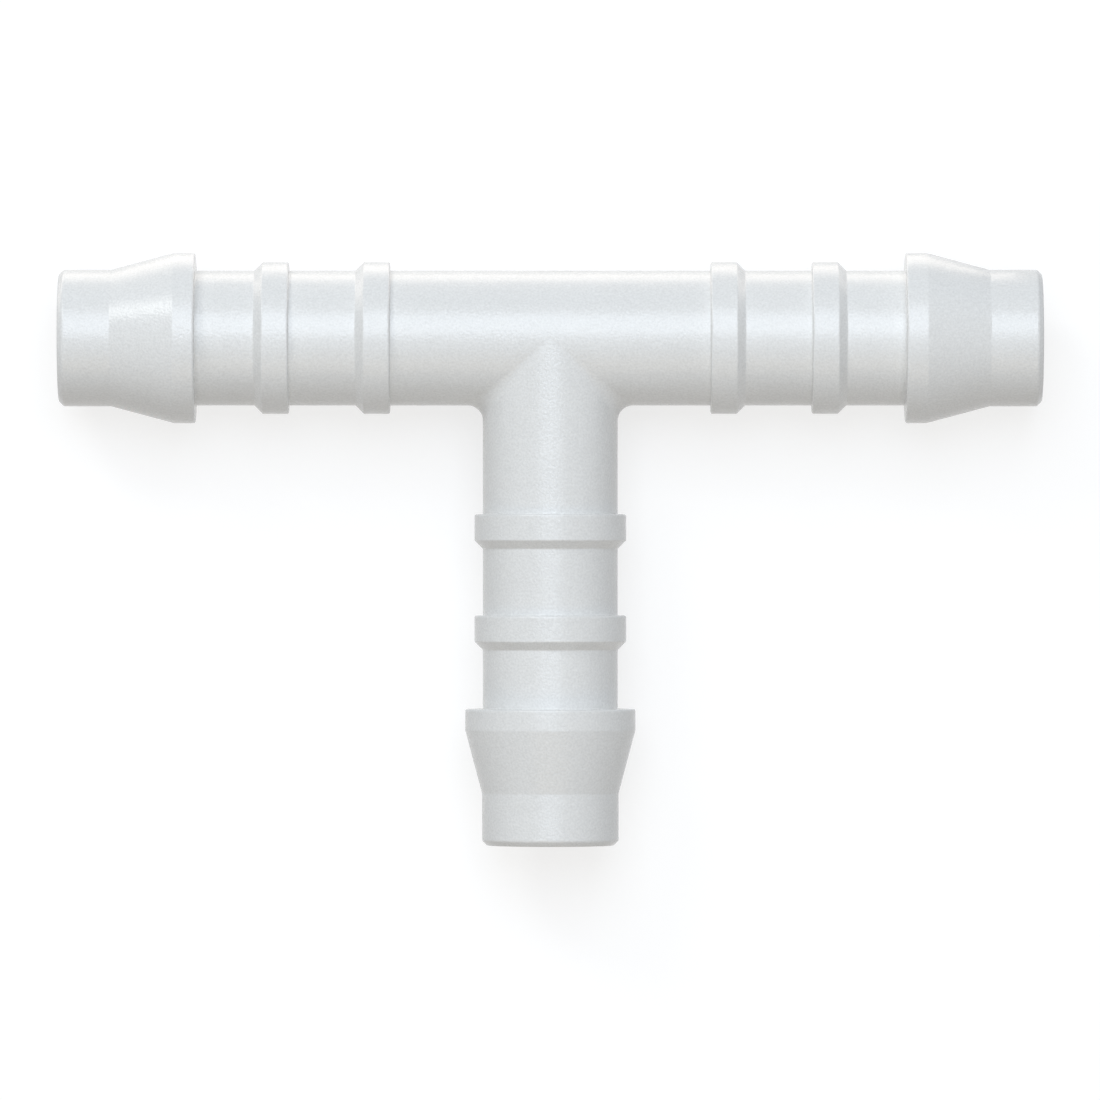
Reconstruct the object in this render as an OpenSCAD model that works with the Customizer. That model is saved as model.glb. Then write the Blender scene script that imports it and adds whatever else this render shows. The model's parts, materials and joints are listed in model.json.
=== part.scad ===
// Hose barb tee: one moulded plastic body with a straight run and a branch at
// right angles to it. Each of its arms ends in a barb that a soft hose is
// pushed over, and carries lower ribs behind it that keep the hose in place.
// The run lies along X and the branch points along -Y. The origin is where
// the axes of the run and the branch cross, and the tee lies on its crests.

/* [Arms] */
// Length of the run from end to end
run_length = 58.3; // [46:0.1:90]
// Distance from the run's axis to the end of the branch
branch_reach = 30.1; // [23:0.1:45]

/* [Stems] */
// Outside diameter of the plain stems, which is the hose's own inside diameter
stem_d = 8; // [6:0.1:12]
// Wall of the plain stems, between the bore and the outside
wall = 1; // [0.6:0.05:2]
// Radius of the rounded corner where the branch's side meets the run's side
crotch_r = 0.9; // [0.4:0.05:2]

/* [Tips] */
// How far the tip, which guides the hose on, stands out from the stem
tip_rise = 0.05; // [0:0.01:0.3]
// Length of the tip's straight part, its chamfer included
tip_length = 3.1; // [1:0.1:5]
// Chamfer around the end of the tip
tip_chamfer = 0.3; // [0.1:0.05:0.6]

/* [Barb crests] */
// How far the crest stands out from the stem
crest_rise = 1.05; // [0.6:0.05:2]
// Length of the cone that leads from the tip up to the crest
lead_length = 3.75; // [2:0.05:6]
// Length of the crest's straight land
crest_land = 1.25; // [0.6:0.05:2.5]

/* [Ribs] */
// How far the ribs stand out from the stem
rib_rise = 0.5; // [0.2:0.05:0.9]
// Length of the ramp on the side of a rib that faces the tip
rib_ramp = 0.5; // [0.2:0.05:1.5]
// Length of a rib's straight land
rib_land = 1.55; // [0.6:0.05:2.5]
// Distance from one rib to the next
rib_pitch = 6; // [4:0.1:9]
// Bare stem between the crest's back and the first rib's ramp
rib_start = 3.5; // [1:0.1:6]

/* [Edges] */
// Rounding of the outer edge at the back of each crest and rib
edge_r = 0.12; // [0.05:0.01:0.18]

/* [Hidden] */

$fn = 96;
plastic = [0.88, 0.89, 0.89];

stem_r = stem_d / 2;
bore_r = stem_r - wall;
tip_r = stem_r + tip_rise;
crest_r = stem_r + crest_rise;
rib_r = stem_r + rib_rise;
run_reach = run_length / 2;

// The straight stretch that the junction and its rounded corners take up
junction = stem_r + crotch_r;
// The bores are cut a little past the ends, so that they are open there
overshoot = 1;

// Steps in the rounding of an edge
edge_steps = 4;
// Steps across and along a rounded corner of the junction
blend_across = 8;
blend_along = 34;
// The rounded corner fades out just before the top and bottom of the junction
blend_end = 85;
// It starts this far under the skins that it joins, and is as deep as this
blend_sink = 0.004;
blend_root = wall / 2;

// Distance from the junction's centre to the back of an arm's crest
function crest_back(reach) = reach - tip_length - lead_length - crest_land;

// Distance from the junction's centre to the back of rib i, counted inwards
function rib_back(reach, i) =
    crest_back(reach) - rib_start - rib_ramp - rib_land - i * rib_pitch;

// As many ribs as fit between the crest and the junction
function rib_count(reach) =
    max(0, floor((rib_back(reach, 0) - junction) / rib_pitch) + 1);

// The rounded outer edge at the back of a collar of radius r, as [radius,
// distance] points from the collar's land round to its back face
function back_edge(r, back) = [
    for (i = [0 : edge_steps])
        let (a = 90 * i / edge_steps)
        [r - edge_r + edge_r * cos(a), back + edge_r - edge_r * sin(a)]
];

// Rib i from the foot of its ramp to the foot of its back face
function rib_outline(reach, i) =
    let (back = rib_back(reach, i))
    concat(
        [[stem_r, back + rib_land + rib_ramp], [rib_r, back + rib_land]],
        back_edge(rib_r, back),
        [[stem_r, back]]
    );

// The outside of one arm from its end inwards, as [radius, distance] points
function arm_outline(reach) = concat(
    [
        [tip_r - tip_chamfer, reach],
        [tip_r, reach - tip_chamfer],
        [tip_r, reach - tip_length],
        [crest_r, reach - tip_length - lead_length]
    ],
    back_edge(crest_r, crest_back(reach)),
    [[stem_r, crest_back(reach)]],
    [for (i = [0 : 1 : rib_count(reach) - 1]) each rib_outline(reach, i)]
);

function mirrored(points) = [
    for (i = [len(points) - 1 : -1 : 0]) [points[i][0], -points[i][1]]
];

// Solid run: both arms in one turned outline
module run_blank() {
    outline = arm_outline(run_reach);
    rotate([0, 90, 0])
        rotate_extrude()
            polygon(concat(
                [[0, run_reach]], outline, mirrored(outline), [[0, -run_reach]]
            ));
}

// Solid branch: one arm that starts at the run's axis
module branch_blank() {
    rotate([90, 0, 0])
        rotate_extrude()
            polygon(concat(
                [[0, branch_reach]], arm_outline(branch_reach), [[stem_r, 0], [0, 0]]
            ));
}

// The rounded corner is the path of a ball that rolls up the corner and
// touches the run's side and the branch's side. At the turn t around the
// corner, from -90 below to 90 above, this is where the ball's centre is.
function ball_centre(t) = junction * [cos(t), -cos(t), sin(t)];

// Directions from the ball's centre to where it touches the run and the branch
function to_run(t) = [0, cos(t), -sin(t)];
function to_branch(t) = [-cos(t), 0, -sin(t)];

// Point on the ball a share s of the way from the one touch to the other
function ball_skin(t, s) =
    let (turn = acos(to_run(t) * to_branch(t)))
    ball_centre(t) + crotch_r / sin(turn)
        * (sin((1 - s) * turn) * to_run(t) + sin(s * turn) * to_branch(t));

// One section of the corner's filling: a root inside the wall, a point under
// the run's skin, the ball's skin, and a point under the branch's skin
function blend_section(t) = concat(
    [
        (stem_r - blend_root) * [cos(t), -cos(t), sin(t)],
        ball_skin(t, 0) + blend_root / 2 * to_run(t)
    ],
    [
        for (i = [0 : blend_across])
            ball_skin(t, i / blend_across) - blend_sink * [cos(t), -cos(t), sin(t)]
    ],
    [ball_skin(t, 1) + blend_root / 2 * to_branch(t)]
);

// Filling of the rounded corner between the branch and the run's +X arm
module corner_blend() {
    sections = [
        for (j = [0 : blend_along])
            blend_section(blend_end * (2 * j / blend_along - 1))
    ];
    around = len(sections[0]);
    sides = [
        for (j = [0 : blend_along - 1], i = [0 : around - 1])
            let (
                a = j * around + i,
                b = j * around + (i + 1) % around,
                c = a + around,
                d = b + around
            )
            each [[a, b, d], [a, d, c]]
    ];
    last = blend_along * around;
    polyhedron(
        points = [for (section = sections) each section],
        faces = concat(
            sides,
            [for (i = [1 : around - 2]) [0, i + 1, i]],
            [for (i = [1 : around - 2]) [last, last + i, last + i + 1]]
        )
    );
}

// The passages: one straight through the run, one from it through the branch
module bores() {
    rotate([0, 90, 0])
        cylinder(r = bore_r, h = run_length + 2 * overshoot, center = true);
    rotate([90, 0, 0])
        cylinder(r = bore_r, h = branch_reach + overshoot);
}

module tee_body() {
    color(plastic)
        difference() {
            union() {
                run_blank();
                branch_blank();
                corner_blend();
                mirror([1, 0, 0]) corner_blend();
            }
            bores();
        }
}

tee_body();
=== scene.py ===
# %% [markdown]
# # A moulded hose barb tee
# The real object is one shot of white plastic: a straight tube, the run, with a second
# tube, the branch, growing out of its side. Each end is a barb for a soft hose. The exact
# model of it is already in the frame, and this file gives it its finished skin: a fine
# mesh with softened edges, a satin plastic finish, a floor, lamps and a camera.
# The whole surface is turned work, so nearly all of it comes from spinning one outline.

# %% Load the frame
import json
import math

import bmesh
import bpy
from mathutils import Matrix, Vector


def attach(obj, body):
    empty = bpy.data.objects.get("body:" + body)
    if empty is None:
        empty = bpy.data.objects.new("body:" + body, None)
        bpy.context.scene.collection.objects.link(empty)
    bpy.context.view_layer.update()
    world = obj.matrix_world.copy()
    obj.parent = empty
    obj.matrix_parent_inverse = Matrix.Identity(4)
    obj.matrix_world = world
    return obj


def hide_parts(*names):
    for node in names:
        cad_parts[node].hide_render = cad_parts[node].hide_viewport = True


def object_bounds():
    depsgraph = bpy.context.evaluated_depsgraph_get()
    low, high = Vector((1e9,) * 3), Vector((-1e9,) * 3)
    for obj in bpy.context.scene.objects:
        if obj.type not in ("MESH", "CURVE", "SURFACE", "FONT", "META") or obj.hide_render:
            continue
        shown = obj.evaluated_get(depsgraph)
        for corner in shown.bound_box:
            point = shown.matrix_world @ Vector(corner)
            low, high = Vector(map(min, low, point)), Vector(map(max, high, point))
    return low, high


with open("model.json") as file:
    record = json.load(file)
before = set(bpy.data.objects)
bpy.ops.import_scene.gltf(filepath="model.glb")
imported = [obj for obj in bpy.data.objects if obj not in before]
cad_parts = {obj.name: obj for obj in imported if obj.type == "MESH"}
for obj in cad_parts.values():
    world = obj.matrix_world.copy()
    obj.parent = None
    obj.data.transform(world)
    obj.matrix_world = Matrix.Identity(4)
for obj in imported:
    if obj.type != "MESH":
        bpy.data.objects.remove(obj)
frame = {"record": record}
cad_low, cad_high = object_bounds()
mm = 0.001
mounts = {mount["name"]: mount for mount in frame["record"]["mounts"]}
print("the tee is", [round(side / mm, 2) for side in cad_high - cad_low], "mm")

# %% [markdown]
# ## Camera
# The photograph was taken square on, from far away, with a long lens, so the tubes show
# almost no perspective. The tee lies flat here, so the same view looks straight down.
# Distance and picture width fix the lens: the far camera with a narrow view is what
# keeps the two ends of the run looking alike. The Standard view shows each colour as it
# is lit, with no film look on top.

# %% Camera above the tee
camera_height = 771 * mm
picture_width = 65.24 * mm
picture_middle = (-0.02 * mm, -12.57 * mm)

camera_data = bpy.data.cameras.new("camera")
camera_data.sensor_width = 36
camera_data.lens = camera_data.sensor_width * camera_height / picture_width
camera_data.clip_start = 10 * mm
camera_data.clip_end = 10
camera = bpy.data.objects.new("camera", camera_data)
bpy.context.scene.collection.objects.link(camera)
camera.location = (*picture_middle, camera_height)
bpy.context.scene.camera = camera
bpy.context.scene.view_settings.view_transform = "Standard"
print("lens", round(camera_data.lens), "mm,", round(camera_height / mm), "mm above the origin")

# %% [markdown]
# ## Sizes
# The radii that a hose or a rod touches are read from the frame's mounts, and the two
# reaches from its box, so the skin can't drift away from the exact model. The rest of an
# arm's outline is measured along the arm, back from its end, as on a maker's drawing.

# %% Sizes of an arm
bore_r = mounts["run_bore"]["dims"]["r_mm"] * mm
tip_r = mounts["tip_plus_x"]["dims"]["r_mm"] * mm
crest_r = mounts["barb_plus_x"]["dims"]["r_mm"] * mm
run_reach = cad_high.x
branch_reach = -cad_low.y

stem_r = 4.0 * mm
rib_r = 4.5 * mm
crotch_r = 0.9 * mm

tip_chamfer = 0.3 * mm
tip_length = 3.1 * mm
lead_length = 3.75 * mm
crest_land = 1.25 * mm
rib_start = 3.5 * mm
rib_ramp = 0.5 * mm
rib_land = 1.55 * mm
rib_pitch = 6.0 * mm
rib_count = 2
print("wall", round((stem_r - bore_r) / mm, 2), "mm")

# %% [markdown]
# ## The outline of an arm
# Cut an arm lengthwise and its section is one line: out along the bore, round the mouth,
# back over the chamfer, tip, cone, crest and ribs, and down to the bare stem. It is drawn
# as a chain of points, each with a softness. A mould can't make a perfectly sharp edge,
# and it is the tiny round on each edge that catches the light, so every corner is then
# bevelled by its own softness. Bevelling the few points of a line is far easier than
# bevelling the finished rings.

# %% Corners of an arm
crisp = 0.04 * mm
eased = 0.08 * mm
rounded = 0.12 * mm


def arm_corners(reach):
    """(distance from the run's axis, radius, softness) of each corner, mouth first."""
    cone_foot = reach - tip_length
    crest_front = cone_foot - lead_length
    crest_back = crest_front - crest_land
    corners = [
        (reach, bore_r, eased),
        (reach, tip_r - tip_chamfer, eased),
        (reach - tip_chamfer, tip_r, eased),
        (cone_foot, tip_r, crisp),
        (crest_front, crest_r, crisp),
        (crest_back, crest_r, rounded),
        (crest_back, stem_r, crisp),
    ]
    for rib in range(rib_count):
        ramp_foot = crest_back - rib_start - rib * rib_pitch
        land_front = ramp_foot - rib_ramp
        rib_back = land_front - rib_land
        corners += [
            (ramp_foot, stem_r, crisp),
            (land_front, rib_r, crisp),
            (rib_back, rib_r, rounded),
            (rib_back, stem_r, crisp),
        ]
    return corners


print(len(arm_corners(run_reach)), "corners on an arm")

# %% [markdown]
# ## Soften the outline
# A vertex bevel turns each corner of the line into a short arc. Smooth shading blends the
# tilt of the arc into the next long face, and a cone would look swollen, so every long
# edge also gets a holding point close to each of its ends. Those become thin rings that
# keep the long faces straight in every renderer, with no special normals to carry along.

# %% Draw an arm's outline
round_steps = 4
hold = 0.05 * mm
long_edge = 4 * hold


def draw_outline(reach):
    """The section of an arm along +X as a line: bore first, round the mouth, stem last."""
    outline = bmesh.new()
    corners = arm_corners(reach)
    places = [(0, bore_r)] + [corner[:2] for corner in corners] + [(0, stem_r)]
    chain = [outline.verts.new((along, radius, 0)) for along, radius in places]
    for start, end in zip(chain, chain[1:]):
        outline.edges.new((start, end))
    for point, (_, _, softness) in zip(chain[1:-1], corners):
        bmesh.ops.bevel(
            outline, geom=[point], affect="VERTICES", offset=softness,
            segments=round_steps, profile=0.5, material=-1,
        )
    for edge in list(outline.edges):
        if edge.calc_length() > long_edge:
            for end in [vert for vert in edge.verts if len(vert.link_edges) == 2]:
                added = bmesh.utils.edge_split(edge, end, hold / edge.calc_length())[0]
                edge = added if end in edge.verts else edge
    return outline


outline = draw_outline(run_reach)
print("the outline has", len(outline.verts), "points")
outline.free()

# %% [markdown]
# ## Spin an arm, and trim it where the arms meet
# Spun once round, the outline is a whole arm. Two equal tubes at right angles meet on
# flat mitres: the bores on the plane at 45 degrees, and the outsides a little further
# out, where the rounded corner of the junction takes over. A ball that rolls along that
# corner touches each tube on a plane too, so two cuts with a plane trim an arm exactly.
# A boolean would leave slivers here, and the planes leave clean rows of quads.
# A quarter of the steps is a whole number, so a row lies exactly on top and at the sides.

# %% Make the three arms
spin_steps = 160
weld = 0.0005 * mm
middle_of_wall = (bore_r + stem_r) / 2
ball_path_r = stem_r + crotch_r


def trim(arm, skin, plane):
    """Cut the faces of the outside (or of the bore) and clear what is behind the plane."""
    for face in arm.faces:
        centre = face.calc_center_median()
        face.tag = (math.hypot(centre.y, centre.z) > middle_of_wall) == skin
    faces = [face for face in arm.faces if face.tag]
    edges = {edge for face in faces for edge in face.edges}
    verts = {vert for face in faces for vert in face.verts}
    bmesh.ops.bisect_plane(
        arm, geom=list(verts) + list(edges) + faces, dist=weld,
        plane_co=(0, 0, 0), plane_no=Vector(plane).normalized(), clear_inner=True,
    )


def make_arm(reach, sides):
    """An arm along +X, trimmed for a neighbour on each of the sides, -1 for the -Y side."""
    arm = draw_outline(reach)
    bmesh.ops.spin(
        arm, geom=arm.verts[:] + arm.edges[:], cent=(0, 0, 0), axis=(1, 0, 0),
        angle=math.tau, steps=spin_steps, use_merge=True,
    )
    for side in sides:
        trim(arm, True, (stem_r, -side * ball_path_r, 0))
        trim(arm, False, (1, -side, 0))
    return arm


def place_arm(body, arm, placing):
    """Add a placed copy of the arm to the body."""
    mesh = bpy.data.meshes.new("arm")
    arm.to_mesh(mesh)
    mesh.transform(placing)
    body.from_mesh(mesh)
    bpy.data.meshes.remove(mesh)


run_arm = make_arm(run_reach, [-1])
branch_arm = make_arm(branch_reach, [-1, 1])
tee = bmesh.new()
place_arm(tee, run_arm, Matrix.Identity(4))
place_arm(tee, run_arm, Matrix.Scale(-1, 4, (1, 0, 0)))
place_arm(tee, branch_arm, Matrix.Rotation(-math.pi / 2, 4, "Z"))
run_arm.free()
branch_arm.free()
print("three arms,", len(tee.faces), "faces")

# %% [markdown]
# ## The rounded corner of the junction
# The mould is rounded where the branch grows out of the run, which gives the soft hollow
# in each corner. It is widest in the crotch and fades to nothing on top and below, where
# the two tubes share one surface. The trimmed edges of a corner are bridged with rungs,
# the rungs are cut into equal parts, and each new point is pushed out from the middle of
# the rolling ball until it lies on the ball. A rung is level, so its height tells how
# far round the corner the ball has rolled. A bevel modifier can't make this shape,
# because the edge that it would round vanishes on top.

# %% Bridge and round the two corners
rung_cuts = 11


def open_edges(side, plane):
    """The open edges on the +X (or -X) side that lie on a plane through the crossing."""
    plane = Vector(plane).normalized()
    return [
        edge for edge in tee.edges
        if edge.is_boundary
        and side * sum(vert.co.x for vert in edge.verts) > weld
        and all(abs(vert.co.dot(plane)) < weld for vert in edge.verts)
    ]


rungs = []
for side in (-1, 1):
    ends = open_edges(side, (side * stem_r, ball_path_r, 0))
    ends += open_edges(side, (side * ball_path_r, stem_r, 0))
    bridge = bmesh.ops.bridge_loops(tee, edges=ends)
    rungs += {edge for face in bridge["faces"] for edge in face.edges} - set(ends)
bmesh.ops.remove_doubles(tee, verts=tee.verts, dist=weld)
rungs = [rung for rung in rungs if rung.is_valid]
parts = bmesh.ops.subdivide_edges(tee, edges=rungs, cuts=rung_cuts)
for point in parts["geom_inner"]:
    if isinstance(point, bmesh.types.BMVert):
        turn = math.asin(point.co.z / stem_r)
        out = math.copysign(math.cos(turn), point.co.x)
        ball = ball_path_r * Vector((out, -math.cos(turn), math.sin(turn)))
        point.co = ball + crotch_r * (point.co - ball).normalized()
print(len(rungs), "rungs in the two corners")

# %% [markdown]
# ## Close the body and check it
# The arms and corners now share their points, so this is one closed skin, with the bores
# as part of it. The mirrored arm came inside out, so the normals are recalculated once.
# A closed skin with two passages has two edges more than it has points and faces, which
# is a quick test that nothing is doubled, missing or pinched.

# %% Finish the mesh
bmesh.ops.recalc_face_normals(tee, faces=tee.faces)
for face in tee.faces:
    face.smooth = True
open_count = sum(not edge.is_manifold for edge in tee.edges)
count = len(tee.verts) - len(tee.edges) + len(tee.faces)
volume = tee.calc_volume(signed=True)
body_mesh = bpy.data.meshes.new("moulded_tee")
tee.to_mesh(body_mesh)
tee.free()
body = bpy.data.objects.new("moulded_tee", body_mesh)
bpy.context.scene.collection.objects.link(body)
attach(body, "root")
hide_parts("tee_body")
print("open edges", open_count, "| points - edges + faces", count)
print("volume", round(volume / mm**3, 1), "mm3,", len(body_mesh.loop_triangles), "triangles")

# %% [markdown]
# ## The grain of the mould
# The mould's steel is spark-eroded, so the plastic comes out satin: countless shallow pits
# a little over a tenth of a millimetre wide. They are far too small to model, and one
# pattern for the whole body is enough, so they are a bump made from noise. Each pit also
# holds a little shade and breaks up the shine, so the same noise speckles the colour and
# the gloss. The pattern is a node group, because the outside and the bores use it with
# different values. Its noise reads Object coordinates in metres, so a pit keeps its real
# size wherever the camera goes.

# %% Grain as a node group
waves_per_metre = 450
clouds_per_metre = 160
speckle_contrast = 1.6
speckle_shift = -0.5
cloud_share = 0.4


def add_node(tree, kind, **settings):
    """A new node of the kind, with the settings made on it."""
    node = tree.nodes.new(kind)
    for name, value in settings.items():
        setattr(node, name, value)
    return node


def add_noise(tree, vector, per_metre, detail):
    """The 0 to 1 output of a noise with so many waves to the metre."""
    noise = add_node(tree, "ShaderNodeTexNoise")
    noise.inputs["Scale"].default_value = per_metre
    noise.inputs["Detail"].default_value = detail
    tree.links.new(vector, noise.inputs["Vector"])
    return noise.outputs["Fac"]


grain = bpy.data.node_groups.new("mould_grain", "ShaderNodeTree")
grain.interface.new_socket("Pits per metre", in_out="INPUT", socket_type="NodeSocketFloat")
grain.interface.new_socket("Waviness", in_out="INPUT", socket_type="NodeSocketFloat")
grain.interface.new_socket("Relief", in_out="OUTPUT", socket_type="NodeSocketFloat")
grain.interface.new_socket("Mottle", in_out="OUTPUT", socket_type="NodeSocketFloat")
group_in = add_node(grain, "NodeGroupInput")
group_out = add_node(grain, "NodeGroupOutput")
place = add_node(grain, "ShaderNodeTexCoord").outputs["Object"]
pits = add_noise(grain, place, 1, 2)  # the link below takes the place of this scale
grain.links.new(group_in.outputs["Pits per metre"], pits.node.inputs["Scale"])
waves = add_noise(grain, place, waves_per_metre, 1)
wave_height = add_node(grain, "ShaderNodeMath", operation="MULTIPLY_ADD")
grain.links.new(waves, wave_height.inputs[0])
grain.links.new(group_in.outputs["Waviness"], wave_height.inputs[1])
grain.links.new(pits, wave_height.inputs[2])
grain.links.new(wave_height.outputs[0], group_out.inputs["Relief"])
clouds = add_noise(grain, place, clouds_per_metre, 3)
speckle = add_node(grain, "ShaderNodeMath", operation="MULTIPLY_ADD")
speckle.inputs[1].default_value = speckle_contrast
speckle.inputs[2].default_value = speckle_shift
grain.links.new(pits, speckle.inputs[0])
mottle = add_node(grain, "ShaderNodeMath", operation="MULTIPLY_ADD")
mottle.inputs[1].default_value = cloud_share
grain.links.new(clouds, mottle.inputs[0])
grain.links.new(speckle.outputs[0], mottle.inputs[2])
grain.links.new(mottle.outputs[0], group_out.inputs["Mottle"])
print("grain group:", len(grain.nodes), "nodes")

# %% [markdown]
# ## Two finishes of one plastic
# The plastic is an almost neutral white, and the cool key lamp gives it its blue cast.
# Outside it is satin. The bores are shaped by polished core pins, so they have hardly any
# grain, only slow waves. A moulded colour is never quite even, so a wide, faint mottle is
# added to the speckle of the pits. The index of refraction is a little above the usual
# 1.5, because the highlights in the photograph are that strong. Both finishes come from
# one function, because only their values differ.

# %% Make the two plastics
plastic_ior = 1.55
gloss_change = 0.08


def make_plastic(name, light_tone, dark_tone, roughness, pit_size, pit_depth, waviness):
    """A plastic whose colour, gloss and relief all follow the mould's grain."""
    plastic = bpy.data.materials.new(name)
    plastic.use_nodes = True
    tree = plastic.node_tree
    shader = tree.nodes["Principled BSDF"]
    shader.inputs["IOR"].default_value = plastic_ior
    texture = add_node(tree, "ShaderNodeGroup", node_tree=grain)
    texture.inputs["Pits per metre"].default_value = 1 / pit_size
    texture.inputs["Waviness"].default_value = waviness
    tint = add_node(tree, "ShaderNodeMix", data_type="RGBA")
    tint.inputs["A"].default_value = (*dark_tone, 1)
    tint.inputs["B"].default_value = (*light_tone, 1)
    gloss = add_node(tree, "ShaderNodeMapRange")
    gloss.inputs["To Min"].default_value = roughness - gloss_change
    gloss.inputs["To Max"].default_value = roughness + gloss_change
    relief = add_node(tree, "ShaderNodeBump")
    relief.inputs["Distance"].default_value = pit_depth
    tree.links.new(texture.outputs["Mottle"], tint.inputs["Factor"])
    tree.links.new(texture.outputs["Mottle"], gloss.inputs["Value"])
    tree.links.new(texture.outputs["Relief"], relief.inputs["Height"])
    tree.links.new(tint.outputs["Result"], shader.inputs["Base Color"])
    tree.links.new(gloss.outputs["Result"], shader.inputs["Roughness"])
    tree.links.new(relief.outputs["Normal"], shader.inputs["Normal"])
    return plastic


satin = make_plastic(
    "satin_plastic", light_tone=(0.874, 0.876, 0.865), dark_tone=(0.734, 0.736, 0.725),
    roughness=0.2, pit_size=0.13 * mm, pit_depth=0.02 * mm, waviness=1,
)
polished = make_plastic(
    "core_pin_plastic", light_tone=(0.83, 0.83, 0.82), dark_tone=(0.79, 0.79, 0.78),
    roughness=0.2, pit_size=0.1 * mm, pit_depth=0.004 * mm, waviness=4,
)
body_mesh.materials.append(satin)
body_mesh.materials.append(polished)
for polygon in body_mesh.polygons:
    centre = polygon.center
    off_run = math.hypot(centre.y, centre.z)
    off_branch = math.hypot(centre.x, centre.z)
    in_bore = off_run < bore_r + weld or (off_branch < bore_r + weld and centre.y < 0)
    polygon.material_index = int(in_bore)
print(sum(polygon.material_index for polygon in body_mesh.polygons), "faces in the bores")

# %% [markdown]
# ## Floor
# The tee lies on its three crests, so the floor touches the bottom of its box. A white
# sheet would throw so much light up that the shaded sides of the tee lose their shape. So
# the sheet is a mid grey that glows for the camera and for reflections, and not for the
# light that it throws on the object. What the glow adds lifts the sheet to white and
# leaves the object's soft shadow in it.

# %% Pale floor
floor_side = 6
floor_glow = 0.71
sheet_grey = 0.37

sheet = bmesh.new()
bmesh.ops.create_grid(
    sheet, x_segments=1, y_segments=1, size=floor_side / 2,
    matrix=Matrix.Translation((0, 0, cad_low.z)),
)
floor_mesh = bpy.data.meshes.new("floor")
sheet.to_mesh(floor_mesh)
sheet.free()
floor = bpy.data.objects.new("floor", floor_mesh)
bpy.context.scene.collection.objects.link(floor)


def seen_directly(tree):
    """1 for rays from the camera, a reflection or glass, and 0 for the light that falls."""
    rays = add_node(tree, "ShaderNodeLightPath")
    either = add_node(tree, "ShaderNodeMath", operation="MAXIMUM")
    seen = add_node(tree, "ShaderNodeMath", operation="MAXIMUM")
    tree.links.new(rays.outputs["Is Camera Ray"], either.inputs[0])
    tree.links.new(rays.outputs["Is Glossy Ray"], either.inputs[1])
    tree.links.new(either.outputs[0], seen.inputs[0])
    tree.links.new(rays.outputs["Is Transmission Ray"], seen.inputs[1])
    return seen.outputs[0]


paper = bpy.data.materials.new("studio_paper")
paper.use_nodes = True
tree = paper.node_tree
shader = tree.nodes["Principled BSDF"]
shader.inputs["Base Color"].default_value = (sheet_grey, sheet_grey, sheet_grey, 1)
shader.inputs["Roughness"].default_value = 0.9
shader.inputs["Specular IOR Level"].default_value = 0
shader.inputs["Emission Color"].default_value = (1, 1, 1, 1)
glow = add_node(tree, "ShaderNodeMath", operation="MULTIPLY")
glow.inputs[1].default_value = floor_glow
tree.links.new(seen_directly(tree), glow.inputs[0])
tree.links.new(glow.outputs[0], shader.inputs["Emission Strength"])
floor_mesh.materials.append(paper)
print("floor at", round(cad_low.z / mm, 3), "mm")

# %% [markdown]
# ## Surroundings
# Past the floor the world is plain white to the camera and in reflections. To the light
# that falls on the object it is a dim, even dome, which fills the shadows the way white
# studio walls do.

# %% White world
dome_level = 0.38

world = bpy.data.worlds.new("studio")
world.use_nodes = True
bpy.context.scene.world = world
tree = world.node_tree
background = tree.nodes["Background"]
background.inputs["Color"].default_value = (1, 1, 1, 1)
level = add_node(tree, "ShaderNodeMapRange")
level.inputs["To Min"].default_value = dome_level
level.inputs["To Max"].default_value = 1
tree.links.new(seen_directly(tree), level.inputs["Value"])
tree.links.new(level.outputs["Result"], background.inputs["Strength"])
print("dome level", dome_level)

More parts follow.
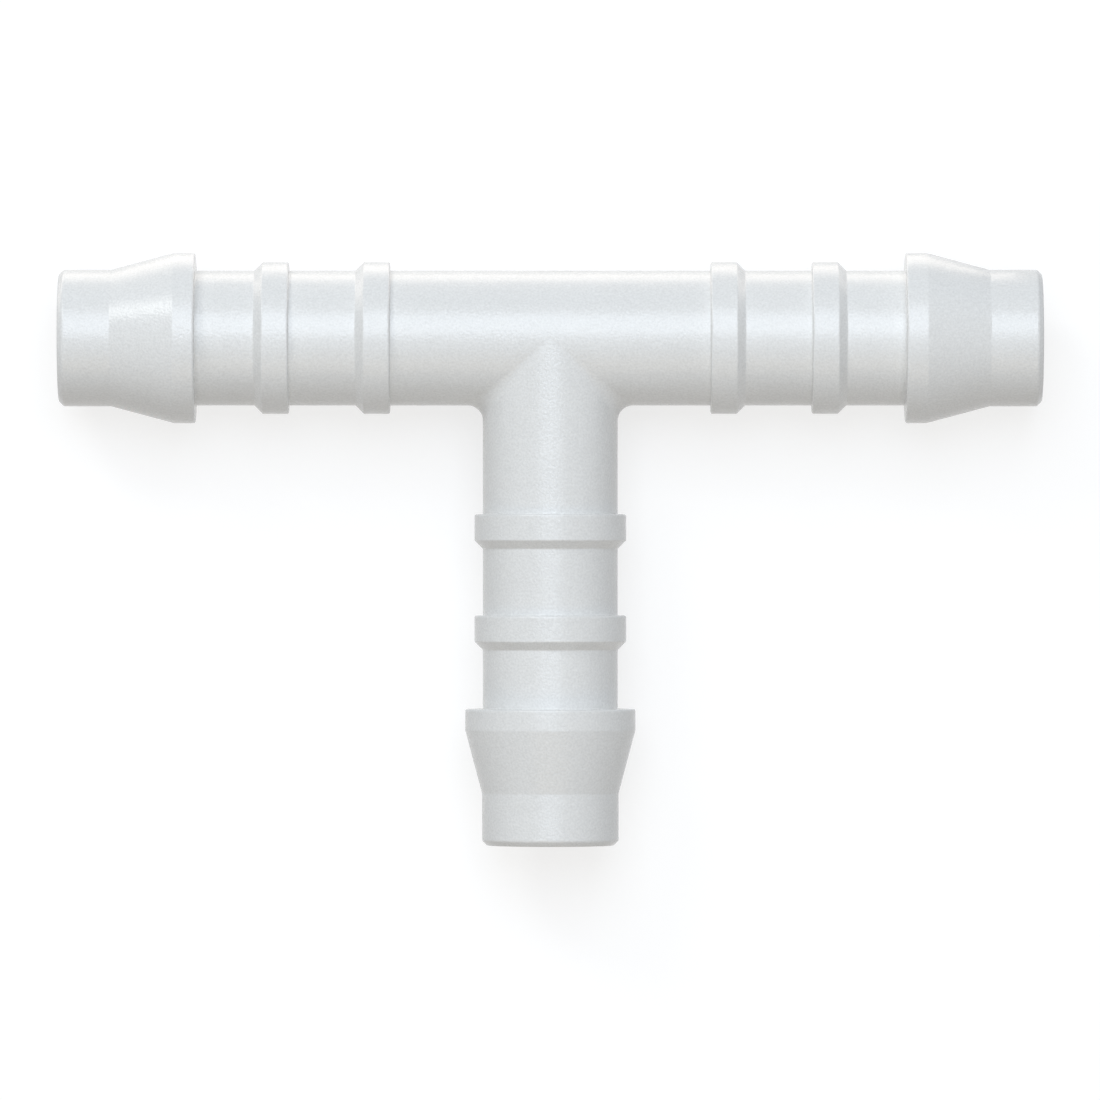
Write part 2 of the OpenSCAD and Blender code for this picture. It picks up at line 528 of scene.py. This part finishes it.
# %% [markdown]
# ## Lamps
# One big, cool softbox hangs above and behind the tee. In the satin skin it draws the
# broad bright band along the run. A dim one straight above lights the ridge of the branch.
# A small one on the left, with nothing like it on the right, shows that the branch is
# round, and shines on the left cone, which leans towards it. A weak, warm one in front
# opens the shaded side of the run. A strip lies on the floor behind the tee, face up: the
# upper edge of the run mirrors it, and shines white. It ends near the right tip, so the
# right cone, which mirrors what is further to the right, keeps a grey edge. The camera
# would see the strip, and the lamp above hangs right in its way, so all the lamps are
# hidden from the camera. Each is given the brightness of its own face, so it can be moved
# or resized and still shows equally bright in a reflection.

# %% Five lamps
lamp_distance = 0.6
strip_length = 91 * mm
strip_depth = 12 * mm
strip_middle = (-17.5 * mm, 15 * mm, cad_low.z + 0.2 * mm)

cool = (0.8, 0.89, 1.0)
neutral = (0.98, 1.0, 0.99)
warm = (1.0, 0.9, 0.82)
amber = (1.0, 0.68, 0.25)


def hung(back, right):
    """The place of a lamp that faces the junction. Back and right are its tilts from
    straight above towards +Y and +X, in degrees."""
    swing = Matrix.Rotation(math.radians(right), 4, "Y")
    tilt = Matrix.Rotation(-math.radians(back), 4, "X")
    return swing @ tilt @ Matrix.Translation((0, 0, lamp_distance))


def add_lamp(name, placing, wide, deep, colour, radiance):
    """A rectangular lamp, hidden from the camera, whose face has the given radiance."""
    data = bpy.data.lights.new(name, "AREA")
    data.shape = "RECTANGLE"
    data.size = wide
    data.size_y = deep
    data.color = colour
    data.energy = radiance * math.pi * wide * deep
    lamp = bpy.data.objects.new(name, data)
    lamp.matrix_world = placing
    lamp.visible_camera = False
    bpy.context.scene.collection.objects.link(lamp)


add_lamp("key_softbox", hung(22.5, 0), 0.36, 0.4, cool, radiance=3.35)
add_lamp("top_softbox", hung(0, 0), 0.4, 0.4, cool, radiance=0.65)
add_lamp("left_softbox", hung(40, -37), 0.18, 0.18, neutral, radiance=6.5)
add_lamp("front_fill", hung(-46, 0), 0.5, 0.3, amber, radiance=0.5)
face_up = Matrix.Rotation(math.pi, 4, "X")
behind = Matrix.Translation(strip_middle) @ face_up
add_lamp("low_strip", behind, strip_length, strip_depth, warm, radiance=1.55)
print(len(bpy.data.lights), "lamps")
